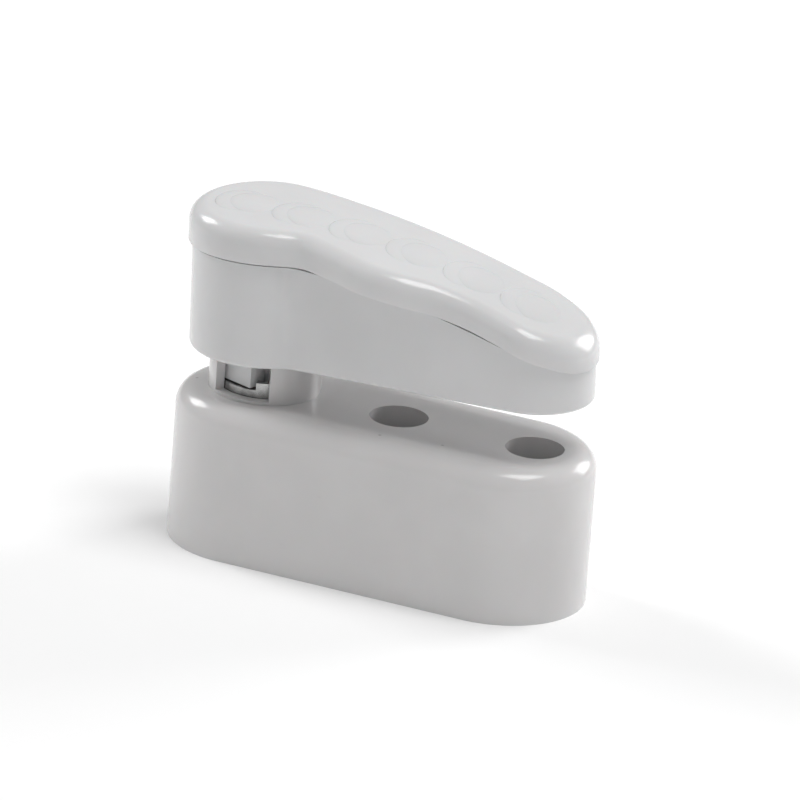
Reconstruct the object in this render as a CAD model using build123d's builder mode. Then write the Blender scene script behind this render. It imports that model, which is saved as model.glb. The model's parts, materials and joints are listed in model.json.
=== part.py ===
"""Stair gate latch: a screw-on base block with a sprung turn lever above it.

Millimetres. The origin is where the pivot axis meets the mounting face. +X runs along the
base towards the lever's tip, +Z along the pivot, away from the mounting face.
"""
import os
from math import cos, radians, sin, sqrt

from build123d import *

os.makedirs("parts", exist_ok=True)

# ---- driving dimensions: base ----
BASE_L = 67.6  # overall length, with half-round ends
BASE_W = 26.7
BASE_H = 24.4
EDGE_R = 3.4  # rounding of the top edge
WALL = 2.4
ROOF = 3.2
PLATE_T = 2.2  # closing plate, flush with the mounting face
HOLE_PITCH = 22.5  # pivot to first screw, and first to second
HOLE_X = (HOLE_PITCH, 2 * HOLE_PITCH)
HEAD_HOLE_R = 4.5  # counterbore for a pan head screw
SHANK_HOLE_R = 2.3
SEAT_Z = 5.0  # height of the screw seat above the mounting face
TUBE_R = HEAD_HOLE_R + 2.1

# ---- driving dimensions: pivot ----
SPINDLE_R = 3.0
RUN_GAP = 0.04  # radial running clearance
BUSH_R = 3.9
COLLAR_R = 8.6
COLLAR_BORE_R = 7.1
COLLAR_TOP = 32.0
COLLAR_SUNK = 1.2  # how deep the collar is welded into the roof
WINDOW_FROM, WINDOW_TO = -126, -61  # degrees about the pivot
RING_R = 7.0
RING_BORE_R = 4.2
RING_TOP = 26.1
STOP_TOP = 27.3  # raised sector that the lug meets
STOP_BORE_R = 5.7
STOP_FROM, STOP_TO = -77, 36
LUG_ANGLE = -110
LUG_W = 6.0
LUG_FACE = 6.3
LUG_BOTTOM = 26.3
DISC_Z = 29.8  # disc of the hub that carries the lug
SPRING_LOW = 10.14
WIRE_R = 0.45
COIL_R = 4.5

# ---- driving dimensions: lever ----
CANT = 2.2  # the lever rises a little towards its tip, degrees
SKIRT_Z = 31.2  # underside of the lever on the pivot axis
HEAD_R = 11.9
SKIRT_WALL = 1.9
WAIST_R = 5.0  # soft corner where the round head meets the grip
SKIRT_EDGE_R = 0.8
FLOOR_Z, FLOOR_T = 2.0, 2.2  # recess under the floor, and the floor
# the seam and the cap's top fall to the tip along arcs: apex above the underside, radius
SEAM_Z, SEAM_R = 16.6, 140.0
TOP_X, TOP_Z, TOP_R = -8.8, 22.6, 170.0
CAP_SKIN = 1.8
CAP_POST_X = (17.0, 43.0)
BOSS_TOP = 7.2  # bosses in the body that the cap's posts stand on

BASE_CX = BASE_L / 2 - BASE_W / 2
ROOF_Z = BASE_H - ROOF
SPRING_RISE = ROOF_Z - 1.2 - 0.02 - SPRING_LOW - 2 * WIRE_R
HUB_SEAT = 37.0  # level seat inside the lever's head
HUB_FLANGE_R = 9.0
HUB_NECK_R = 4.9
HUB_SCREW_R = 6.9
HUB_FLANGE_T = 2.2
NUT_Z = HUB_SEAT + HUB_FLANGE_T + 1.0

LEVER = Plane(
    origin=(0, 0, SKIRT_Z),
    x_dir=(cos(radians(CANT)), 0, sin(radians(CANT))),
    z_dir=(-sin(radians(CANT)), 0, cos(radians(CANT))),
)
LEVER_SIDE = Plane(origin=(0, 0, SKIRT_Z), x_dir=LEVER.x_dir, z_dir=(0, -1, 0))


def around(radius, degrees, z=0.0):
    """A point at an angle about the pivot axis."""
    return (radius * cos(radians(degrees)), radius * sin(radians(degrees)), z)


def sector(radius, start, stop):
    """A pie slice about the pivot axis."""
    with BuildSketch() as slice_face:
        with BuildLine():
            rim = CenterArc((0, 0), radius, start, stop - start)
            Line((0, 0), rim @ 0)
            Line((0, 0), rim @ 1)
        make_face()
    return slice_face.sketch


def skirt_outline(inset=0.0):
    """The lever's plan: a round head, a waist in front, a straight back and a round tip."""
    with BuildSketch() as outline:
        Circle(HEAD_R - inset)
        with BuildLine():
            front = Line((0, inset - 9.3), (44.6, inset - 9.5))
            tip = ThreePointArc(front @ 1, (53.6 - inset, -0.8), (45.5, 8.3 - inset))
            back = Line(tip @ 1, around(HEAD_R - inset, 85.4)[:2])
            Line(back @ 1, (0, 0))
            Line((0, 0), front @ 0)
        make_face()
        if not inset:
            fillet(outline.vertices().sort_by_distance((7.4, -9.3))[0], WAIST_R)
    return outline.sketch


def ceiling(x):
    """Height of the cap's inner face above the lever's underside."""
    return sqrt((TOP_R - CAP_SKIN) ** 2 - (x - TOP_X) ** 2) + TOP_Z - TOP_R


def cap_outline():
    """The cap's plan: the head, two finger waves in front, a gentle back edge."""
    with BuildSketch() as outline:
        with BuildLine():
            head = CenterArc((0, 0), HEAD_R + 0.6, 86, 209)
            front = Spline(
                head @ 1,
                (9.4, -9.7),
                (14.0, -10.8),
                (20.0, -12.5),
                (26.0, -12.2),
                (31.5, -10.4),
                (36.5, -9.8),
                (41.5, -10.1),
                (46.2, -10.4),
                (51.0, -7.6),
                (54.0, -1.6),
                tangents=((1, 0.35), (0.1, 1)),
            )
            tip = Spline(
                front @ 1,
                (53.3, 3.2),
                (50.4, 6.8),
                (45.0, 9.1),
                tangents=((-0.02, 1), (-1, 0.073)),
            )
            Line(tip @ 1, head @ 0)
        make_face()
    return outline.sketch


# ---------------------------------------------------------------- base
with BuildPart() as base_housing:
    with BuildSketch():
        with Locations((BASE_CX, 0)):
            SlotOverall(BASE_L, BASE_W)
    extrude(amount=BASE_H)
    fillet(base_housing.faces().sort_by(Axis.Z)[-1].edges(), EDGE_R)
    with BuildSketch():
        with Locations((BASE_CX, 0)):
            SlotOverall(BASE_L - 2 * WALL, BASE_W - 2 * WALL)
    extrude(amount=ROOF_Z, mode=Mode.SUBTRACT)
    with BuildSketch(Plane.XY.offset(PLATE_T)):
        Circle(8.4)
        with Locations(*[(x, side * 8.0) for x in (11.25, 33.75) for side in (-1, 1)]):
            Circle(2.7)
        with Locations((11.25, 0), (33.75, 0)):
            Rectangle(1.6, BASE_W - 2 * WALL)
        with Locations((BASE_CX, 0)):
            Rectangle(2 * BASE_CX, 1.6)
    extrude(amount=ROOF_Z - PLATE_T)
    with Locations((0, 0, PLATE_T + (ROOF_Z - PLATE_T) / 2)):
        Cylinder(6.3, ROOF_Z - PLATE_T, mode=Mode.SUBTRACT)
    with BuildSketch():
        with Locations(*[(x, 0) for x in HOLE_X]):
            Circle(TUBE_R + 0.02)
    extrude(amount=ROOF_Z, mode=Mode.SUBTRACT)
    with Locations(*[(x, 0, BASE_H) for x in HOLE_X]):
        Hole(HEAD_HOLE_R)
    with Locations((0, 0, BASE_H)):
        Hole(BUSH_R)
    with BuildSketch(Plane.XY.offset(BASE_H)):
        Circle(COLLAR_R + 0.02)
        Circle(COLLAR_BORE_R - 0.02, mode=Mode.SUBTRACT)
    extrude(amount=-COLLAR_SUNK, mode=Mode.SUBTRACT)
    with Locations(*[around(5.4, angle, BASE_H) for angle in (90, 270)]):
        Hole(0.8, depth=1.7)
    with Locations(*[(x, side * 8.0, PLATE_T + 4) for x in (11.25, 33.75) for side in (-1, 1)]):
        Cylinder(1.1, 8, mode=Mode.SUBTRACT)

with BuildPart() as screw_sleeves:
    with BuildSketch(Plane.XY.offset(PLATE_T)):
        with Locations(*[(x, 0) for x in HOLE_X]):
            Circle(TUBE_R)
    extrude(amount=ROOF_Z - PLATE_T)
    with Locations(*[(x, 0, ROOF_Z) for x in HOLE_X]):
        CounterBoreHole(SHANK_HOLE_R, HEAD_HOLE_R, ROOF_Z - SEAT_Z)

with BuildPart() as base_plate:
    with BuildSketch():
        with Locations((BASE_CX, 0)):
            SlotOverall(BASE_L - 2 * WALL - 0.2, BASE_W - 2 * WALL - 0.2)
    extrude(amount=PLATE_T)
    with Locations(*[(x, 0, PLATE_T) for x in HOLE_X]):
        Hole(SHANK_HOLE_R)
    with Locations(*[(x, side * 8.0, 0) for x in (11.25, 33.75) for side in (-1, 1)]):
        with Locations(Location((0, 0, 0), (180, 0, 0))):
            CounterSinkHole(1.3, 2.5)
    chamfer(base_plate.faces().sort_by(Axis.Z)[-1].outer_wire().edges(), 0.4)

with BuildPart() as base_plate_screws:
    for x in (11.25, 33.75):
        for side in (-1, 1):
            with BuildSketch(Plane(origin=(x, side * 8.0, 0), x_dir=(1, 0, 0), z_dir=(0, -1, 0))):
                Polygon((0, 0.1), (2.3, 0.1), (1.1, 1.4), (1.1, 9.0), (0.5, 9.8), (0, 9.8), align=None)
            revolve(axis=Axis((x, side * 8.0, 0), (0, 0, 1)))
            with Locations((x, side * 8.0, 0.4)):
                Box(2.6, 0.6, 0.8, mode=Mode.SUBTRACT)
                Box(0.6, 2.6, 0.8, mode=Mode.SUBTRACT)

with BuildPart() as seat_washers:
    with BuildSketch(Plane.XY.offset(SEAT_Z)):
        with Locations(*[(x, 0) for x in HOLE_X]):
            Circle(HEAD_HOLE_R - 0.05)
            Circle(SHANK_HOLE_R, mode=Mode.SUBTRACT)
    extrude(amount=0.8)

with BuildPart() as pivot_collar:
    with BuildSketch(Plane.XY.offset(BASE_H - COLLAR_SUNK)):
        Circle(COLLAR_R)
        Circle(COLLAR_BORE_R, mode=Mode.SUBTRACT)
    extrude(amount=COLLAR_TOP - BASE_H + COLLAR_SUNK)
    with BuildSketch(Plane.XY.offset(BASE_H + 0.5)):
        add(sector(12, WINDOW_FROM, WINDOW_TO))
    extrude(amount=COLLAR_TOP - 0.8 - BASE_H - 0.5, mode=Mode.SUBTRACT)
    chamfer(pivot_collar.faces().sort_by(Axis.Z)[-1].edges(), 0.3)

with BuildPart() as stop_ring:
    with BuildSketch(Plane.XY.offset(BASE_H)):
        Circle(RING_R)
        Circle(RING_BORE_R, mode=Mode.SUBTRACT)
    extrude(amount=STOP_TOP - BASE_H)
    with BuildSketch(Plane.XY.offset(RING_TOP)):
        add(sector(2 * RING_R, STOP_TO, STOP_FROM + 360))
        Circle(STOP_BORE_R)
    extrude(amount=STOP_TOP - RING_TOP, mode=Mode.SUBTRACT)
    with Locations(*[around(5.4, angle, RING_TOP) for angle in (90, 270)]):
        Hole(0.8)

with BuildPart() as stop_ring_pins:
    with Locations(*[around(5.4, angle, RING_TOP - 1.7) for angle in (90, 270)]):
        Cylinder(0.8, 3.3)
    chamfer(stop_ring_pins.edges().filter_by(GeomType.CIRCLE), 0.15)

# ---------------------------------------------------------------- pivot
with BuildPart() as spindle_bush:
    with BuildSketch(Plane.XY.offset(ROOF_Z - 1.2)):
        Circle(5.6)
    extrude(amount=1.2)
    with BuildSketch(Plane.XY.offset(ROOF_Z)):
        Circle(BUSH_R)
    extrude(amount=ROOF + 0.8)
    with Locations((0, 0, BASE_H)):
        Hole(SPINDLE_R + RUN_GAP)

with BuildPart() as spindle:
    with BuildSketch(Plane.XZ):
        Polygon(
            (0, 5.6), (2.6, 5.6), (SPINDLE_R, 6.0), (SPINDLE_R, 8.0), (2.3, 8.0), (2.3, 9.1),
            (SPINDLE_R, 9.1), (SPINDLE_R, HUB_SEAT + HUB_FLANGE_T - 0.1),
            (2.5, HUB_SEAT + HUB_FLANGE_T - 0.1), (2.5, NUT_Z + 4.6), (2.1, NUT_Z + 5.0),
            (0, NUT_Z + 5.0), align=None,
        )
    revolve(axis=Axis.Z)
    with Locations((0, SPINDLE_R, 35.0)):
        Box(8, 1.2, 8.4, mode=Mode.SUBTRACT)

with BuildPart() as retaining_clip:
    with BuildSketch(Plane.XY.offset(8.05)):
        Circle(5.0)
        Circle(2.33, mode=Mode.SUBTRACT)
        with Locations((4.0, 0)):
            Rectangle(6.0, 3.4, mode=Mode.SUBTRACT)
        with Locations((-3.9, 2.4), (-3.9, -2.4)):
            Circle(1.0, mode=Mode.SUBTRACT)
    extrude(amount=1.0)

with BuildPart() as spring_washer:
    with BuildSketch(Plane.XY.offset(9.12)):
        Circle(5.9)
        Circle(SPINDLE_R + 0.1, mode=Mode.SUBTRACT)
    extrude(amount=1.0)

with BuildPart() as return_spring:
    with BuildLine(Plane.XY.offset(SPRING_LOW + WIRE_R)):
        turn = Helix(pitch=SPRING_RISE / 4.5, height=SPRING_RISE, radius=COIL_R)
    with BuildSketch(Plane(origin=turn @ 0, z_dir=turn % 0)):
        Circle(WIRE_R)
    sweep(path=turn, is_frenet=True)

with BuildPart() as thrust_washer:
    with BuildSketch(Plane.XY.offset(BASE_H + 0.85)):
        Circle(4.0)
        Circle(SPINDLE_R + RUN_GAP, mode=Mode.SUBTRACT)
    extrude(amount=1.0)

# ---------------------------------------------------------------- hub
with BuildPart() as lever_hub:
    with BuildSketch(Plane.XY.offset(BASE_H + 1.9)):
        Circle(4.0)
    extrude(amount=DISC_Z - BASE_H - 1.9)
    with BuildSketch(Plane.XY.offset(DISC_Z)):
        Circle(6.7)
    extrude(amount=1.6)
    with BuildSketch(Plane.XY.offset(DISC_Z)):
        Circle(HUB_NECK_R)
    extrude(amount=HUB_SEAT - DISC_Z)
    with BuildSketch(Plane.XY.offset(HUB_SEAT)):
        Circle(HUB_FLANGE_R)
    extrude(amount=HUB_FLANGE_T)
    with BuildSketch(Plane.XY.offset(LUG_BOTTOM)):
        with Locations(Location(around((3.4 + LUG_FACE) / 2, LUG_ANGLE), (0, 0, LUG_ANGLE))):
            Rectangle(LUG_FACE - 3.4, LUG_W)
    extrude(amount=DISC_Z - LUG_BOTTOM + 0.1)
    with BuildSketch(Plane.XY.offset(BASE_H + 1.9)):
        Circle(SPINDLE_R + 0.01)
        with Locations((0, 4.42)):
            Rectangle(8, 4, mode=Mode.SUBTRACT)
    extrude(amount=40, mode=Mode.SUBTRACT)
    with BuildSketch(Plane.XY.offset(BASE_H + 1.9)):
        Circle(SPINDLE_R + 0.01)
    extrude(amount=31.2 - BASE_H - 1.9, mode=Mode.SUBTRACT)
    with Locations(*[around(HUB_SCREW_R, angle, HUB_SEAT + HUB_FLANGE_T) for angle in (60, 180, 300)]):
        Hole(1.3, depth=HUB_FLANGE_T)

with BuildPart() as hub_screws:
    for angle in (60, 180, 300):
        with Locations(around(HUB_SCREW_R, angle, HUB_SEAT + HUB_FLANGE_T + 0.75)):
            Cylinder(2.1, 1.4)
        with Locations(around(HUB_SCREW_R, angle, HUB_SEAT + HUB_FLANGE_T + 0.05 - 2.3)):
            Cylinder(1.2, 4.6)
        with Locations(around(HUB_SCREW_R, angle, HUB_SEAT + HUB_FLANGE_T + 1.2)):
            Box(2.2, 0.5, 0.9, mode=Mode.SUBTRACT)
            Box(0.5, 2.2, 0.9, mode=Mode.SUBTRACT)

with BuildPart() as spindle_washer:
    with BuildSketch(Plane.XY.offset(HUB_SEAT + HUB_FLANGE_T + 0.02)):
        Circle(4.0)
        Circle(2.6, mode=Mode.SUBTRACT)
    extrude(amount=0.9)

with BuildPart() as spindle_nut:
    with BuildSketch(Plane.XY.offset(NUT_Z)):
        RegularPolygon(4.0, 6, major_radius=False)
        Circle(2.52, mode=Mode.SUBTRACT)
    extrude(amount=3.8)
    chamfer(spindle_nut.faces().sort_by(Axis.Z)[-1].outer_wire().edges(), 0.4)

# ---------------------------------------------------------------- lever
with BuildPart() as lever_body:
    with BuildSketch(LEVER):
        add(skirt_outline())
    extrude(amount=SEAM_Z + 2)
    fillet(lever_body.faces().sort_by(Axis.Z)[0].edges(), SKIRT_EDGE_R)
    with BuildSketch(LEVER_SIDE):
        with Locations((0, SEAM_Z - SEAM_R)):
            Circle(SEAM_R)
    extrude(amount=20, both=True, mode=Mode.INTERSECT)
    with BuildSketch(LEVER.offset(FLOOR_Z + FLOOR_T)):
        add(skirt_outline(SKIRT_WALL))
    extrude(amount=SEAM_Z, mode=Mode.SUBTRACT)
    with BuildSketch(LEVER):
        add(skirt_outline(SKIRT_WALL))
    extrude(amount=FLOOR_Z, mode=Mode.SUBTRACT)
    with BuildSketch(Plane.XY.offset(HUB_SEAT)):
        Circle(HEAD_R - 1.0)
    extrude(amount=-3.0)
    with BuildSketch(LEVER.offset(FLOOR_Z + FLOOR_T - 0.5)):
        with Locations((25.0, 0), (34.0, 0)):
            Rectangle(1.4, 15.4)
        with Locations((30.0, 0)):
            Rectangle(26.0, 1.4)
        with Locations(*[(x, 0) for x in CAP_POST_X]):
            Circle(3.2)
    extrude(amount=BOSS_TOP - FLOOR_Z - FLOOR_T + 0.5)
    with BuildSketch(LEVER):
        with Locations(*[(x, 0) for x in CAP_POST_X]):
            Circle(1.35)
    extrude(amount=BOSS_TOP + 0.5, mode=Mode.SUBTRACT)
    with Locations((0, 0, HUB_SEAT)):
        Hole(HUB_NECK_R + 0.1)
    with Locations(*[around(HUB_SCREW_R, angle, HUB_SEAT) for angle in (60, 180, 300)]):
        Hole(1.2, depth=2.5)

with BuildPart() as cap_hollow:
    with BuildSketch(LEVER):
        add(skirt_outline(SKIRT_WALL + 0.1))
    extrude(amount=TOP_Z)
    with BuildSketch(LEVER_SIDE):
        with Locations((TOP_X, TOP_Z - TOP_R)):
            Circle(TOP_R - CAP_SKIN)
    extrude(amount=20, both=True, mode=Mode.INTERSECT)

with BuildPart() as lever_cap:
    with BuildSketch(LEVER):
        add(cap_outline())
    extrude(amount=TOP_Z + 1)
    with BuildSketch(LEVER_SIDE):
        with Locations((TOP_X, TOP_Z - TOP_R)):
            Circle(TOP_R)
        with Locations((0, SEAM_Z - SEAM_R)):
            Circle(SEAM_R + 0.02, mode=Mode.SUBTRACT)
    extrude(amount=20, both=True, mode=Mode.INTERSECT)
    add(cap_hollow.part, mode=Mode.SUBTRACT)
    for x in CAP_POST_X:
        with BuildSketch(LEVER.offset(BOSS_TOP + 0.02)):
            with Locations((x, 0)):
                Circle(2.8)
                Circle(1.1, mode=Mode.SUBTRACT)
        extrude(amount=ceiling(x) + 0.5 - BOSS_TOP)

with BuildPart() as cap_screws:
    for x in CAP_POST_X:
        with BuildSketch(LEVER.offset(FLOOR_Z - 1.3)):
            with Locations((x, 0)):
                Circle(2.4)
                Rectangle(3.0, 0.6, mode=Mode.SUBTRACT)
                Rectangle(0.6, 3.0, mode=Mode.SUBTRACT)
        extrude(amount=0.7)
        with BuildSketch(LEVER.offset(FLOOR_Z - 0.6)):
            with Locations((x, 0)):
                Circle(2.4)
        extrude(amount=0.6)
        with BuildSketch(LEVER.offset(FLOOR_Z)):
            with Locations((x, 0)):
                Circle(1.25)
        extrude(amount=8.4)

# ---------------------------------------------------------------- labels and files
base_housing.part.label = "base_housing"
screw_sleeves.part.label = "screw_sleeves"
base_plate.part.label = "base_plate"
base_plate_screws.part.label = "base_plate_screws"
seat_washers.part.label = "seat_washers"
pivot_collar.part.label = "pivot_collar"
stop_ring.part.label = "stop_ring"
stop_ring_pins.part.label = "stop_ring_pins"
spindle_bush.part.label = "spindle_bush"
spindle.part.label = "spindle"
retaining_clip.part.label = "retaining_clip"
spring_washer.part.label = "spring_washer"
return_spring.part.label = "return_spring"
thrust_washer.part.label = "thrust_washer"
lever_hub.part.label = "lever_hub"
hub_screws.part.label = "hub_screws"
spindle_washer.part.label = "spindle_washer"
spindle_nut.part.label = "spindle_nut"
lever_body.part.label = "lever_body"
lever_cap.part.label = "lever_cap"
cap_screws.part.label = "cap_screws"

export_step(base_housing.part, "parts/base_housing.step")
export_step(screw_sleeves.part, "parts/screw_sleeves.step")
export_step(base_plate.part, "parts/base_plate.step")
export_step(base_plate_screws.part, "parts/base_plate_screws.step")
export_step(seat_washers.part, "parts/seat_washers.step")
export_step(pivot_collar.part, "parts/pivot_collar.step")
export_step(stop_ring.part, "parts/stop_ring.step")
export_step(stop_ring_pins.part, "parts/stop_ring_pins.step")
export_step(spindle_bush.part, "parts/spindle_bush.step")
export_step(spindle.part, "parts/spindle.step")
export_step(retaining_clip.part, "parts/retaining_clip.step")
export_step(spring_washer.part, "parts/spring_washer.step")
export_step(return_spring.part, "parts/return_spring.step")
export_step(thrust_washer.part, "parts/thrust_washer.step")
export_step(lever_hub.part, "parts/lever_hub.step")
export_step(hub_screws.part, "parts/hub_screws.step")
export_step(spindle_washer.part, "parts/spindle_washer.step")
export_step(spindle_nut.part, "parts/spindle_nut.step")
export_step(lever_body.part, "parts/lever_body.step")
export_step(lever_cap.part, "parts/lever_cap.step")
export_step(cap_screws.part, "parts/cap_screws.step")
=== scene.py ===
# %% [markdown]
# # A stair gate latch in Blender
# The object is a small screw-on latch: a base block, a collar with a window, and a turn lever
# that lies over the base. The engineering model is loaded first and acts as the frame. Every
# piece made here sits in the same place as the part it stands for, so nothing is fitted later.

# %% Load the frame
import json
from math import cos, pi, radians, sin, sqrt

import bmesh
import bpy
from mathutils import Matrix, Vector

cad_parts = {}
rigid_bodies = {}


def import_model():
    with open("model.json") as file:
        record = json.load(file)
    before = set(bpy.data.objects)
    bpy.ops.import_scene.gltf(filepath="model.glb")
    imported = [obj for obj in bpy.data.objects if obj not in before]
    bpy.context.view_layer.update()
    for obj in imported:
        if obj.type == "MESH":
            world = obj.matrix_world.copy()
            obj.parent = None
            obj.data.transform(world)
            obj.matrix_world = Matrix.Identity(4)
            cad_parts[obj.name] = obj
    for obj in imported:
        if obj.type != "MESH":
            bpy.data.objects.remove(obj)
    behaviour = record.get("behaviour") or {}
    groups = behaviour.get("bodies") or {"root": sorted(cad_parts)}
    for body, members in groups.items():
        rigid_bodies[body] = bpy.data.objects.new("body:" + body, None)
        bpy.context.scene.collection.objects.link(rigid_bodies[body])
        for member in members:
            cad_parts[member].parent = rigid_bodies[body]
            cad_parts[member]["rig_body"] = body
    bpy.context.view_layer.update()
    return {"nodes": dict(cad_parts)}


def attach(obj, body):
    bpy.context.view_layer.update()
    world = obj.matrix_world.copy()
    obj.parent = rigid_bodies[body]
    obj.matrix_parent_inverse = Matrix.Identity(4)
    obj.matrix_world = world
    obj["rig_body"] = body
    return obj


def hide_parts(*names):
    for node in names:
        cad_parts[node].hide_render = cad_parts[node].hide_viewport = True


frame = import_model()
nodes = frame["nodes"]
MM = 0.001

# %% [markdown]
# ## Shader maths as plain expressions
# A material is easier to read as a formula than as a web of nodes. One small class wraps an
# output socket. Adding, subtracting or multiplying two of them adds the Math node that does it,
# and one method adds any other kind of node.

# %% The socket wrapper
class Socket:
    def __init__(self, tree, socket):
        self.tree = tree
        self.socket = socket

    def node(self, kind, settings=None, output=0, **inputs):
        """Add a node: its settings, then its inputs by name (_ is a space) or by place (_0)."""
        made = self.tree.nodes.new(kind)
        for name, value in (settings or {}).items():
            setattr(made, name, value)
        for name, value in inputs.items():
            place = int(name[1:]) if name[0] == "_" else name.replace("_", " ")
            if isinstance(value, Socket):
                self.tree.links.new(value.socket, made.inputs[place])
            else:
                made.inputs[place].default_value = value
        return Socket(self.tree, made.outputs[output])

    def maths(self, operation, first, second=0.0):
        return self.node("ShaderNodeMath", {"operation": operation}, _0=first, _1=second)

    def __add__(self, other):
        return self.maths("ADD", self, other)

    def __radd__(self, other):
        return self.maths("ADD", other, self)

    def __sub__(self, other):
        return self.maths("SUBTRACT", self, other)

    def __rsub__(self, other):
        return self.maths("SUBTRACT", other, self)

    def __mul__(self, other):
        return self.maths("MULTIPLY", self, other)

    def __rmul__(self, other):
        return self.maths("MULTIPLY", other, self)

    def above(self, low, high):
        """0 below low, 1 above high, and a smooth slope between them."""
        return self.node(
            "ShaderNodeMapRange",
            {"interpolation_type": "SMOOTHSTEP"},
            Value=self, From_Min=low, From_Max=high,
        )

    def at_most(self, other):
        return self.maths("MINIMUM", self, other)

    def blend(self, first, second):
        """Mix two colours, with this value as the share of the second."""
        mix = self.tree.nodes.new("ShaderNodeMix")
        mix.data_type = "RGBA"
        self.tree.links.new(self.socket, mix.inputs[0])
        for place, colour in ((6, first), (7, second)):
            if isinstance(colour, Socket):
                self.tree.links.new(colour.socket, mix.inputs[place])
            else:
                mix.inputs[place].default_value = (*colour, 1.0)
        return Socket(self.tree, mix.outputs[2])


def new_material(name, colour, roughness, **fixed):
    """A Principled material, its fixed values set on the shader; returns it and its place."""
    material = bpy.data.materials.new(name)
    material.use_nodes = True
    tree = material.node_tree
    shader = tree.nodes["Principled BSDF"]
    shader.inputs["Base Color"].default_value = (*colour, 1.0)
    shader.inputs["Roughness"].default_value = roughness
    for key, value in fixed.items():
        shader.inputs[key.replace("_", " ")].default_value = value
    coords = tree.nodes.new("ShaderNodeTexCoord")
    return material, shader, Socket(tree, coords.outputs["Object"])


def feed(shader, **values):
    """Link worked-out values to the shader's inputs."""
    for name, value in values.items():
        value.tree.links.new(value.socket, shader.inputs[name.replace("_", " ")])


print("shader maths ready")

# %% [markdown]
# ## The plastics
# Both mouldings are glossy off-white plastic. Nothing real is one flat colour: the base is a
# touch warmer than the lever, both are faintly uneven, and the base shows a few dark specks and
# rubbed marks from use. The specks come from a cell pattern of which only a few cells are kept.
# The rubbed marks are a thin contour of stretched noise, cut down to a few short pieces.

# %% Moulded plastic
MARK_COLOUR = (0.27, 0.26, 0.25)
GRAIN_DEPTH = 0.1 * MM


def moulded_plastic(name, light, shade, roughness, specks, scuffs):
    material, shader, place = new_material(
        name, light, roughness,
        Specular_IOR_Level=0.5, Subsurface_Weight=0.06, Subsurface_Scale=2 * MM,
    )
    clouds = place.node("ShaderNodeTexNoise", Vector=place, Scale=60.0, Detail=3.0)
    fine = place.node("ShaderNodeTexNoise", Vector=place, Scale=900.0, Detail=2.0)
    colour = clouds.above(0.35, 0.7).blend(light, shade)
    cells = place.node(
        "ShaderNodeTexVoronoi", {"feature": "F1"}, "Distance", Vector=place, Scale=330.0,
    )
    kept = place.node("ShaderNodeTexNoise", Vector=place, Scale=150.0, Detail=0.0)
    speck = (1.0 - cells.above(0.03, 0.13)) * kept.above(0.68, 0.74) * specks
    wide = place.node(
        "ShaderNodeMapping", Vector=place, Scale=(1.0, 1.0, 2.2), Rotation=(0.0, 0.5, 0.0),
    )
    lines = place.node("ShaderNodeTexNoise", Vector=wide, Scale=170.0, Detail=4.0, Distortion=0.6)
    line = 1.0 - lines.maths("ABSOLUTE", lines - 0.5).above(0.0, 0.012)
    where = place.node("ShaderNodeTexNoise", Vector=place, Scale=110.0, Detail=1.0)
    scuff = line * where.above(0.68, 0.75) * scuffs
    mark = (speck + scuff).at_most(1.0)
    colour = mark.blend(colour, MARK_COLOUR)
    feed(shader, Base_Color=colour, Roughness=roughness + fine * 0.05 + clouds * 0.05 + scuff * 0.2)
    grain = place.node("ShaderNodeBump", Height=fine, Strength=0.05, Distance=GRAIN_DEPTH)
    feed(shader, Normal=grain)
    print("material:", name)
    return material


BASE_WHITE = (0.665, 0.655, 0.655)
LEVER_WHITE = (0.675, 0.675, 0.68)
base_plastic = moulded_plastic(
    "base_plastic", BASE_WHITE, (0.635, 0.625, 0.625), 0.15, specks=0.7, scuffs=0.2,
)
lever_plastic = moulded_plastic(
    "lever_plastic", LEVER_WHITE, (0.65, 0.65, 0.655), 0.15, specks=0.0, scuffs=0.06,
)
acetal = moulded_plastic(
    "acetal", (0.8, 0.79, 0.74), (0.76, 0.75, 0.7), 0.4, specks=0.0, scuffs=0.0,
)

# %% [markdown]
# ## The metals
# The ring in the window is a zinc casting with a plated, slightly cloudy surface. The spindle is
# turned steel, so its fine lines run round it: they are noise squeezed along the axis. Spring
# wire and screws are darker and brighter versions of the same idea.

# %% Plated and turned metal
def metal(name, light, dark, roughness, cloud_size, turned=0.0):
    material, shader, place = new_material(name, light, roughness, Metallic=1.0)
    clouds = place.node("ShaderNodeTexNoise", Vector=place, Scale=cloud_size, Detail=4.0)
    if turned:
        squeezed = place.node("ShaderNodeMapping", Vector=place, Scale=(1.0, 1.0, turned))
        lines = place.node("ShaderNodeTexNoise", Vector=squeezed, Scale=400.0, Detail=2.0)
    else:
        lines = place.node("ShaderNodeTexNoise", Vector=place, Scale=1400.0, Detail=2.0)
    feed(shader, Base_Color=clouds.above(0.3, 0.75).blend(light, dark))
    feed(shader, Roughness=roughness + clouds * 0.15 + lines * 0.08)
    grain = place.node("ShaderNodeBump", Height=lines, Strength=0.15, Distance=GRAIN_DEPTH)
    feed(shader, Normal=grain)
    print("material:", name)
    return material


zinc_casting = metal("zinc_casting", (0.55, 0.55, 0.54), (0.3, 0.3, 0.3), 0.12, 500.0)
turned_steel = metal(
    "turned_steel", (0.58, 0.57, 0.56), (0.47, 0.46, 0.45), 0.25, 200.0, turned=9.0,
)
spring_wire = metal("spring_wire", (0.4, 0.4, 0.41), (0.28, 0.28, 0.29), 0.3, 300.0)
zinc_plate = metal("zinc_plate", (0.66, 0.67, 0.69), (0.55, 0.55, 0.52), 0.26, 260.0)

# %% [markdown]
# ## Smooth copies of the mouldings
# The frame's meshes are loose triangles, so a rounded edge would shine in facets. A copy has its
# doubles merged and is shaded smooth, with creases kept where two faces meet at a real edge. The
# copy stands for the frame's node and rides on the same body.

# %% Smooth copy of a node
MERGE_GAP = 0.002 * MM


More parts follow.
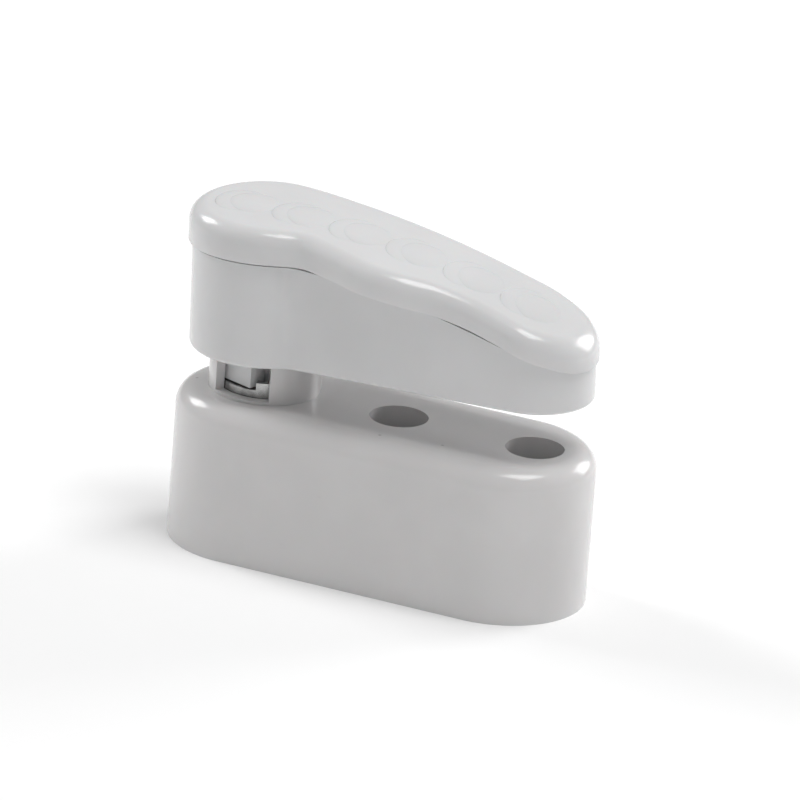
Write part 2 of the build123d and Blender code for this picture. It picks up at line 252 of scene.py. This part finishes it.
def soften(work, crease):
    """Shade smooth, with a hard edge where two faces meet at this angle in degrees or more."""
    for face in work.faces:
        face.smooth = True
    for edge in work.edges:
        edge.smooth = edge.calc_face_angle(pi) < radians(crease)


def smooth_copy(node, material):
    source = nodes[node]
    mesh = source.data.copy()
    mesh.name = node + "_smooth"
    work = bmesh.new()
    work.from_mesh(mesh)
    bmesh.ops.remove_doubles(work, verts=work.verts, dist=MERGE_GAP)
    soften(work, crease=30)
    work.to_mesh(mesh)
    work.free()
    if "custom_normal" in mesh.attributes:
        mesh.attributes.remove(mesh.attributes["custom_normal"])
    mesh.materials.clear()
    mesh.materials.append(material)
    piece = bpy.data.objects.new(node + "_smooth", mesh)
    bpy.context.scene.collection.objects.link(piece)
    body = source["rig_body"]
    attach(piece, body)
    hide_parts(node)
    print(node, "faces:", len(mesh.polygons))


FINISHES = {
    "base_housing": base_plastic, "base_plate": base_plastic, "pivot_collar": base_plastic,
    "base_plate_screws": zinc_plate, "seat_washers": zinc_plate, "stop_ring": zinc_casting,
    "stop_ring_pins": turned_steel, "spindle_bush": acetal, "spindle": turned_steel,
    "retaining_clip": spring_wire, "spring_washer": zinc_plate, "thrust_washer": acetal,
    "lever_hub": lever_plastic, "hub_screws": zinc_plate, "spindle_washer": zinc_plate,
    "spindle_nut": zinc_plate, "lever_body": lever_plastic, "cap_screws": zinc_plate,
    "return_spring": spring_wire, "screw_sleeves": base_plastic,
}
for node, finish in FINISHES.items():
    smooth_copy(node, finish)

# %% [markdown]
# ## The lever's own directions
# The lever rises a little towards its tip, so its pieces are drawn in its own tilted directions
# and then turned into place. Its cap falls towards the tip along an arc, like a computer mouse.

# %% Lever directions and crown
CANT = radians(2.2)
UNDERSIDE = 31.2
HEAD_R = 12.5
TOP_X, TOP_Z, TOP_R = -8.8, 22.6, 170.0
SEAM_Z, SEAM_R = 16.6, 140.0


def lever_point(x, y, z):
    """From the lever's own directions, in millimetres, to the frame's, in metres."""
    return Vector((
        (x * cos(CANT) - z * sin(CANT)) * MM,
        y * MM,
        (UNDERSIDE + x * sin(CANT) + z * cos(CANT)) * MM,
    ))


def crown(x):
    return sqrt(TOP_R**2 - (x - TOP_X) ** 2) + TOP_Z - TOP_R


def seam(x):
    return sqrt(SEAM_R**2 - x**2) + SEAM_Z - SEAM_R


print("crown at head and tip, mm:", round(crown(0), 2), round(crown(54), 2))

# %% [markdown]
# ## The cap's outline
# The cap is the piece a hand holds: two soft waves for the fingers in front, a straight edge
# behind, and a round tip. A few points describe it. One smooth closed curve runs through them,
# because a curve with an end would leave a corner, and a corner shows as a spike on a thick rim.

# %% One closed curve through a few points
FRONT_WAVES = [
    (9.4, -9.7), (14.0, -10.8), (20.0, -12.5), (26.0, -12.2), (31.5, -10.4), (36.5, -9.8),
    (41.5, -10.1), (46.2, -10.4), (50.7, -8.2), (53.2, -5.0),
]
TIP = (54.0, -1.6)
STRAIGHT_BACK = [
    (53.2, 3.2), (50.4, 6.8), (45.0, 9.1), (38.0, 9.6), (31.0, 10.1), (24.0, 10.6), (17.0, 11.1),
    (10.0, 11.65),
]
HEAD_STEPS = 14
SPAN = 30
COLUMNS = 220


def head_arc(start, stop):
    """Points round the head, from one angle to another."""
    angles = [start + (stop - start) * k / HEAD_STEPS for k in range(HEAD_STEPS + 1)]
    return [(HEAD_R * cos(radians(a)), HEAD_R * sin(radians(a))) for a in angles]


def closed_curve(points):
    """A smooth closed line; its slope at each point is weighed by the gaps on both sides."""
    places = [Vector(point) for point in points]
    count = len(places)
    slopes = []
    for k in range(count):
        back = places[k] - places[k - 1]
        ahead = places[(k + 1) % count] - places[k]
        near, far = back.length, ahead.length
        slopes.append((back * (far / near) + ahead * (near / far)) / (near + far))
    curve = []
    for k in range(count):
        start, end = places[k], places[(k + 1) % count]
        gap = (end - start).length
        for step in range(SPAN):
            t = step / SPAN
            curve.append(
                start * (2 * t**3 - 3 * t**2 + 1)
                + slopes[k] * gap * (t**3 - 2 * t**2 + t)
                + end * (3 * t**2 - 2 * t**3)
                + slopes[(k + 1) % count] * gap * (t**3 - t**2)
            )
    return curve


def spaced(line, count):
    """The same line as this many evenly spaced points, its ends included."""
    steps = [0.0]
    for a, b in zip(line, line[1:]):
        steps.append(steps[-1] + (b - a).length)
    points = []
    place = 0
    for k in range(count):
        goal = steps[-1] * k / (count - 1)
        while place < len(line) - 2 and steps[place + 1] < goal:
            place += 1
        share = (goal - steps[place]) / (steps[place + 1] - steps[place])
        points.append(line[place].lerp(line[place + 1], share))
    return points


front_points = head_arc(180.0, 296.0) + FRONT_WAVES
curve = closed_curve(front_points + [TIP] + STRAIGHT_BACK + head_arc(86.0, 180.0)[:-1])
tip_place = SPAN * len(front_points)
front_line = spaced(curve[:tip_place + 1], COLUMNS)
back_line = spaced(curve[tip_place:] + [curve[0]], COLUMNS)
outline = front_line + back_line[1:-1]
print("outline points:", len(outline))

# %% [markdown]
# ## The cap's surface
# A bevel modifier could round the rim of an extrusion, but a wavy outline breaks a wide bevel.
# Instead the rim is a stack of rings. Each ring is the outline moved further in and higher up, in
# a quarter circle. Inside the last ring, columns of points run across and follow the crown.

# %% Rings and fills
RIM_R = 2.7


def ring(work, distance, height):
    """The outline moved inwards, as vertices; returns its plan and the vertices."""
    line = []
    for k, point in enumerate(outline):
        along = outline[(k + 1) % len(outline)] - outline[k - 1]
        line.append(point + Vector((-along.y, along.x)).normalized() * distance)
    return line, [work.verts.new(lever_point(p.x, p.y, height(p.x))) for p in line]


def join_rings(work, upper, lower):
    for k in range(len(upper)):
        after = (k + 1) % len(upper)
        work.faces.new((upper[k], lower[k], lower[after], upper[after]))


def fill(work, line, edge, height, rows=24):
    """Close a ring with columns of points that run from the front edge to the back edge."""
    middle = len(line) // 2
    columns = [[edge[0]] * (rows + 1)]
    for k in range(1, middle):
        column = [edge[k]]
        for j in range(1, rows):
            p = line[k].lerp(line[-k], j / rows)
            column.append(work.verts.new(lever_point(p.x, p.y, height(p.x))))
        columns.append(column + [edge[-k]])
    columns.append([edge[middle]] * (rows + 1))
    for a, b in zip(columns, columns[1:]):
        for j in range(rows):
            work.faces.new(list(dict.fromkeys((a[j], b[j], b[j + 1], a[j + 1]))))


def finish_piece(name, mesh, body, material, slot, *replaced):
    """Give a mesh its material and its body, and hide the nodes it stands for. The slot is not
    used.
    """
    mesh.materials.clear()
    mesh.materials.append(material)
    piece = bpy.data.objects.new(name, mesh)
    bpy.context.scene.collection.objects.link(piece)
    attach(piece, body)
    if replaced:
        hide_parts(*replaced)
    print(name, "faces:", len(mesh.polygons))


# %% The cap
RIM_STEPS = 10
# Below the rim the foot turns under: how far in from the outline, how far above the seam.
FOOT = ((0.0, 0.6), (0.12, 0.36), (0.4, 0.25), (1.2, 0.25), (1.3, 0.04), (2.2, 0.04))
CEILING_IN = 2.3
CEILING_DROP = 2.4


def ceiling(x):
    return crown(x) - CEILING_DROP


def make_cap():
    work = bmesh.new()
    stack = []
    for step in range(RIM_STEPS, -1, -1):
        turn = pi / 2 * step / RIM_STEPS
        drop = RIM_R * (1.0 - sin(turn))
        stack.append(ring(work, RIM_R * (1.0 - cos(turn)), lambda x, drop=drop: crown(x) - drop))
    fill(work, *stack[0], crown)
    for distance, gap in FOOT:
        stack.append(ring(work, distance, lambda x, gap=gap: seam(x) + gap))
    stack.append(ring(work, CEILING_IN, ceiling))
    for upper, lower in zip(stack, stack[1:]):
        join_rings(work, upper[1], lower[1])
    fill(work, *stack[-1], ceiling)
    bmesh.ops.recalc_face_normals(work, faces=work.faces)
    soften(work, crease=40)
    mesh = bpy.data.meshes.new("grip_cap")
    work.to_mesh(mesh)
    work.free()
    finish_piece("grip_cap", mesh, "lever", lever_plastic, "lever_plastic", "lever_cap")


make_cap()

# %% [markdown]
# ## The row of low discs on the cap
# The cap carries a plain relief: a row of shallow discs, each lapping over the next like scales.
# Each is a flattened ball sunk into the crown and tilted, so that only its edge towards the head
# stands out. One Geometry Nodes tree places them along the crown's arc.

# %% Nodes for a row of scales
def scale_row_tree(material):
    tree = bpy.data.node_groups.new("row_of_scales", "GeometryNodeTree")
    face = tree.interface
    face.new_socket(name="Geometry", in_out="OUTPUT", socket_type="NodeSocketGeometry")
    face.new_socket(name="Count", in_out="INPUT", socket_type="NodeSocketInt")
    for name in ("First", "Pitch", "Side", "Radius", "Height", "Sunk", "Tilt"):
        face.new_socket(name=name, in_out="INPUT", socket_type="NodeSocketFloat")
    into = tree.nodes.new("NodeGroupInput")
    size = {socket.name: Socket(tree, socket) for socket in into.outputs if socket.name}
    start = size["First"].node("ShaderNodeCombineXYZ", X=size["First"], Y=size["Side"])
    step = start.node("ShaderNodeCombineXYZ", X=size["Pitch"])
    line = start.node(
        "GeometryNodeMeshLine", Count=size["Count"], Start_Location=start, Offset=step,
    )
    where = start.node("GeometryNodeInputPosition")
    along = where.node("ShaderNodeSeparateXYZ", Vector=where) - TOP_X * MM
    rise = along.maths("SQRT", (TOP_R * MM) ** 2 - along * along) + (TOP_Z - TOP_R) * MM
    lift = rise.node("ShaderNodeCombineXYZ", Z=rise - size["Sunk"])
    arc = line.node("GeometryNodeSetPosition", Geometry=line, Offset=lift)
    slope = along.maths("ARCSINE", along * (1.0 / (TOP_R * MM)))
    lean = slope.node("ShaderNodeCombineXYZ", Y=slope + size["Tilt"])
    ball = start.node("GeometryNodeMeshUVSphere", Segments=72, Rings=36, Radius=size["Radius"])
    flat = start.node(
        "ShaderNodeCombineXYZ", X=1.0, Y=1.0,
        Z=size["Height"].maths("DIVIDE", size["Height"], size["Radius"]),
    )
    scales = arc.node(
        "GeometryNodeInstanceOnPoints", Points=arc, Instance=ball, Rotation=lean, Scale=flat,
    )
    laid = scales.node(
        "GeometryNodeTransform", Geometry=scales,
        Rotation=(0.0, -CANT, 0.0), Translation=(0.0, 0.0, UNDERSIDE * MM),
    )
    real = laid.node("GeometryNodeRealizeInstances", Geometry=laid)
    soft = real.node("GeometryNodeSetShadeSmooth", Geometry=real)
    painted = soft.node("GeometryNodeSetMaterial", Geometry=soft, Material=material)
    out = tree.nodes.new("NodeGroupOutput")
    tree.links.new(painted.socket, out.inputs[0])
    return tree


def from_tree(name, tree, **values):
    """Run a tree with these inputs and return its result as a plain mesh."""
    blank = bpy.data.objects.new(name, bpy.data.meshes.new(name))
    bpy.context.scene.collection.objects.link(blank)
    modifier = blank.modifiers.new(name, "NODES")
    modifier.node_group = tree
    for item in tree.interface.items_tree:
        if item.in_out == "INPUT" and item.name in values:
            modifier[item.identifier] = values[item.name]
    bpy.context.view_layer.update()
    result = blank.evaluated_get(bpy.context.evaluated_depsgraph_get())
    mesh = bpy.data.meshes.new_from_object(result)
    blank.modifiers.remove(modifier)
    bpy.data.objects.remove(blank)
    mesh.name = name
    return mesh


scale_row = scale_row_tree(lever_plastic)
print("tree of scales:", len(scale_row.nodes), "nodes")

# %% Two rows, one inside the other, give each scale a double edge
PITCH = 9.4 * MM
for name, first, radius, sunk in (
    ("cap_scales", -2.6, 5.9, 0.5), ("cap_scales_inner", -1.9, 4.6, 0.3),
):
    scales = from_tree(
        name, scale_row, Count=6, First=first * MM, Pitch=PITCH, Side=-1.0 * MM,
        Radius=radius * MM, Height=0.65 * MM, Sunk=sunk * MM, Tilt=0.08,
    )
    finish_piece(name, scales, "lever", lever_plastic, "lever_plastic")

# %% [markdown]
# ## Floor, light and camera
# The setting is a plain pale floor in a pale room. A white object on a white floor only reads if
# the side that faces us is a little darker than both. So no light stands near the camera: one is
# high on the right, one on the left, and each leaves a glint on the rounded edges. A third, low
# and behind, reaches under the lever. The camera is far away with a long lens, so that parallel
# edges stay parallel, and leans a few degrees.

# %% Floor
def make_floor():
    mesh = bpy.data.meshes.new("floor")
    reach = 3.0
    corners = [(-reach, -reach, 0), (reach, -reach, 0), (reach, reach, 0), (-reach, reach, 0)]
    mesh.from_pydata(corners, [], [(0, 1, 2, 3)])
    floor = bpy.data.objects.new("floor", mesh)
    bpy.context.scene.collection.objects.link(floor)
    paint = new_material("floor_paper", (0.95, 0.95, 0.95), 0.9)[0]
    mesh.materials.append(paint)


make_floor()
scene = bpy.context.scene
scene.view_settings.view_transform = "Standard"
print("floor ready")

# %% Lights
LIT_SPOT = Vector((0.02, 0.0, 0.02))


def direction(azimuth, elevation):
    """From the object towards an azimuth and elevation in degrees; azimuth 0 is -Y."""
    a, e = radians(azimuth), radians(elevation)
    return Vector((sin(a) * cos(e), -cos(a) * cos(e), sin(e)))


def area_light(name, azimuth, elevation, distance, size, power):
    """A square softbox that looks at the object; distance and size in metres, power in watts."""
    back = direction(azimuth, elevation)
    lamp = bpy.data.lights.new(name, "AREA")
    lamp.shape = "SQUARE"
    lamp.size = size
    lamp.energy = power
    light = bpy.data.objects.new(name, lamp)
    bpy.context.scene.collection.objects.link(light)
    light.matrix_world = back.to_track_quat("Z", "Y").to_matrix().to_4x4()
    light.location = LIT_SPOT + back * distance


area_light("top_softbox", 80, 74, 0.9, 0.42, 4.1)
area_light("left_softbox", -98, 34, 1.0, 0.35, 3.6)
area_light("back_softbox", 150, 21, 1.0, 0.45, 4.0)
world = bpy.data.worlds.new("pale_room")
world.use_nodes = True
room = world.node_tree.nodes["Background"]
room.inputs["Color"].default_value = (1.0, 1.0, 1.0, 1.0)
room.inputs["Strength"].default_value = 0.35
scene.world = world
print("lights ready")

# %% Camera
def make_camera(aim, azimuth, elevation, roll, distance, lens):
    a, r = radians(azimuth), radians(roll)
    back = direction(azimuth, elevation)
    right = Vector((cos(a), sin(a), 0.0))
    up = back.cross(right)
    turned_right = right * cos(r) + up * sin(r)
    turned_up = up * cos(r) - right * sin(r)
    data = bpy.data.cameras.new("camera")
    data.lens = lens
    data.sensor_width = 36.0
    data.clip_end = 20.0
    camera = bpy.data.objects.new("camera", data)
    bpy.context.scene.collection.objects.link(camera)
    turn = Matrix((turned_right, turned_up, back)).transposed().to_4x4()
    camera.matrix_world = Matrix.Translation(Vector(aim) + back * distance) @ turn
    bpy.context.scene.camera = camera


make_camera(
    aim=(0.0230, -0.0013, 0.0276), azimuth=22.8, elevation=21.1, roll=4.4, distance=1.5, lens=447.0,
)
print("camera ready")
